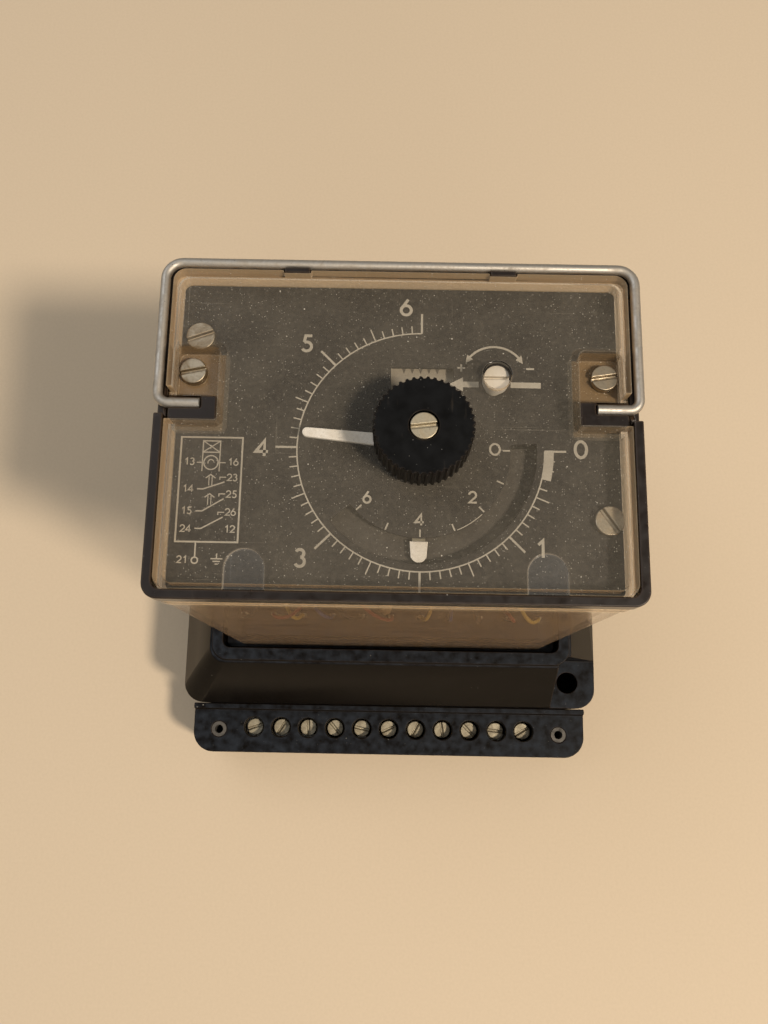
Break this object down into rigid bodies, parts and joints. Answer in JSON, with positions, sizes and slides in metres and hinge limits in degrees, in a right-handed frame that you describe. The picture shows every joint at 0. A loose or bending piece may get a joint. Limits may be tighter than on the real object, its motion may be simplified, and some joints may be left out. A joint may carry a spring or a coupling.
{
  "type": "time relay",
  "caption": "Plug-in electromechanical time relay in a clear-topped case with a setting knob and wire bail, standing in a black screw-terminal panel socket.",
  "frame": {"origin": "centre of the socket's underside, on the surface the socket stands on or is screwed to", "axes": "+Z out of the mounting surface towards the dial, +X to the right along the terminal rows, -Y towards the terminal row at the bottom edge of the dial as it is read"},
  "size_m": [0.1486, 0.1544, 0.192],
  "materials": {
    "bakelite": "black bakelite, semi-gloss, dusty and worn",
    "clear_plastic": "transparent plastic, yellowed, scratched and dusty",
    "dial_paint": "dark grey-brown matt paint with light print",
    "white_plastic": "aged white plastic",
    "grey_paint": "light grey matt paint",
    "white_paint": "white enamel, slightly yellowed",
    "steel_wire": "dull nickel-plated steel wire",
    "nickel": "nickel plate, tarnished",
    "brass": "tarnished brass",
    "tinned_brass": "tin-plated brass, dull",
    "zinc_steel": "zinc-plated steel plate",
    "phosphor_bronze": "phosphor bronze spring strip",
    "silver": "silver contact, tarnished",
    "motor_paint": "grey hammer paint",
    "copper_winding": "enamelled copper wire under varnish",
    "bobbin_plastic": "natural phenolic",
    "paper_board": "brown laminated paper board"
  },
  "bodies": {
    "socket": {"socket_body": "bakelite", "terminal_strip_front": "bakelite", "terminal_strip_rear": "bakelite", "contact_springs": "phosphor_bronze", "terminal_blocks": "tinned_brass", "clamp_plates": "zinc_steel", "terminal_screws": "nickel", "socket_bottom_plate": "paper_board", "strip_rivets": "brass"},
    "relay": {"relay_base": "bakelite", "base_screws": "nickel", "plug_blades_front": "tinned_brass", "plug_blades_rear": "tinned_brass", "clear_cover": "clear_plastic", "rim_frame": "bakelite", "scale_plate": "dial_paint", "indicator_backing": "grey_paint", "plate_screws": "nickel", "cover_screws": "nickel", "lower_movement_plate": "zinc_steel", "upper_movement_plate": "zinc_steel", "arbor_bushes": "brass", "chassis_posts": "zinc_steel", "movement_pillars": "zinc_steel", "dial_standoffs": "zinc_steel", "motor_can": "motor_paint", "motor_coil": "copper_winding", "range_stud": "zinc_steel", "clutch_yoke": "zinc_steel", "armature_pin": "zinc_steel", "clutch_core": "zinc_steel", "clutch_bobbin": "bobbin_plastic", "clutch_coil": "copper_winding", "instant_contact_springs": "phosphor_bronze", "instant_contact_clamps": "paper_board", "instant_contact_tips": "silver", "delay_contact_springs": "phosphor_bronze", "delay_contact_clamps": "paper_board", "delay_contact_tips": "silver"},
    "bail": {"wire_bail": "steel_wire"},
    "setting": {"knob": "bakelite", "knob_screw": "nickel", "setting_shaft": "zinc_steel", "set_pointer": "white_paint", "stop_arm": "zinc_steel"},
    "time_wheel": {"main_wheel": "brass", "main_tube": "brass", "trip_cam": "brass", "indicator_arm": "brass", "indicator_flag": "white_paint"},
    "reduction": {"reduction_wheel": "brass", "reduction_arbor": "zinc_steel"},
    "rotor": {"rotor_shaft": "zinc_steel", "motor_rotor": "zinc_steel"},
    "range_dial": {"range_wheel": "white_plastic"},
    "selector": {"selector_spindle": "white_plastic", "selector_pinion": "white_plastic"},
    "armature": {"clutch_armature": "zinc_steel"},
    "trip": {"trip_shaft": "bobbin_plastic"}
  },
  "joints": [
    {"name": "relay_unplug", "type": "slide", "parent": "socket", "child": "relay", "axis": [0, 0, 1], "range_m": [0, 0.05]},
    {"name": "bail_swing", "type": "hinge", "parent": "relay", "child": "bail", "pos_m": [0, 0.0052, 0.18], "axis": [1, 0, 0], "range_deg": [0, 120]},
    {"name": "knob_turn", "type": "hinge", "parent": "relay", "child": "setting", "pos_m": [0.0054, -0.003, 0.1827], "axis": [0, 0, 1], "range_deg": [-84.8, 185.2]},
    {"name": "time_wheel_turn", "type": "hinge", "parent": "relay", "child": "time_wheel", "pos_m": [0.0054, -0.003, 0.156], "axis": [0, 0, 1], "range_deg": [-45, 92]},
    {"name": "reduction_turn", "type": "hinge", "parent": "relay", "child": "reduction", "pos_m": [-0.0207, -0.01517, 0.148], "axis": [0, 0, 1], "range_deg": [-461, 226]},
    {"name": "rotor_turn", "type": "hinge", "parent": "relay", "child": "rotor", "pos_m": [-0.02727, 0.00287, 0.116], "axis": [0, 0, 1], "range_deg": [-676, 1381]},
    {"name": "range_dial_turn", "type": "hinge", "parent": "relay", "child": "range_dial", "pos_m": [0.0059, 0.01862, 0.1686], "axis": [0, 0, 1], "range_deg": [-45, 45]},
    {"name": "selector_turn", "type": "hinge", "parent": "relay", "child": "selector", "pos_m": [0.0224, 0.0125, 0.1686], "axis": [0, 0, 1], "range_deg": [-121, 121]},
    {"name": "armature_pull", "type": "hinge", "parent": "relay", "child": "armature", "pos_m": [0.0465, 0.006, 0.1045], "axis": [0, -1, 0], "range_deg": [0, 4.5], "stiffness_Nm_per_rad": 0.05, "springref_deg": -11.46},
    {"name": "trip_swing", "type": "hinge", "parent": "relay", "child": "trip", "pos_m": [-0.002, -0.0305, 0.092], "axis": [0, 0, -1], "range_deg": [0, 5], "stiffness_Nm_per_rad": 0.01, "springref_deg": -11.46}
  ],
  "couplings": [
    {"joint": "reduction_turn", "follows": "time_wheel_turn", "ratio": -5},
    {"joint": "rotor_turn", "follows": "time_wheel_turn", "ratio": 15},
    {"joint": "selector_turn", "follows": "range_dial_turn", "ratio": -2.6667}
  ]
}
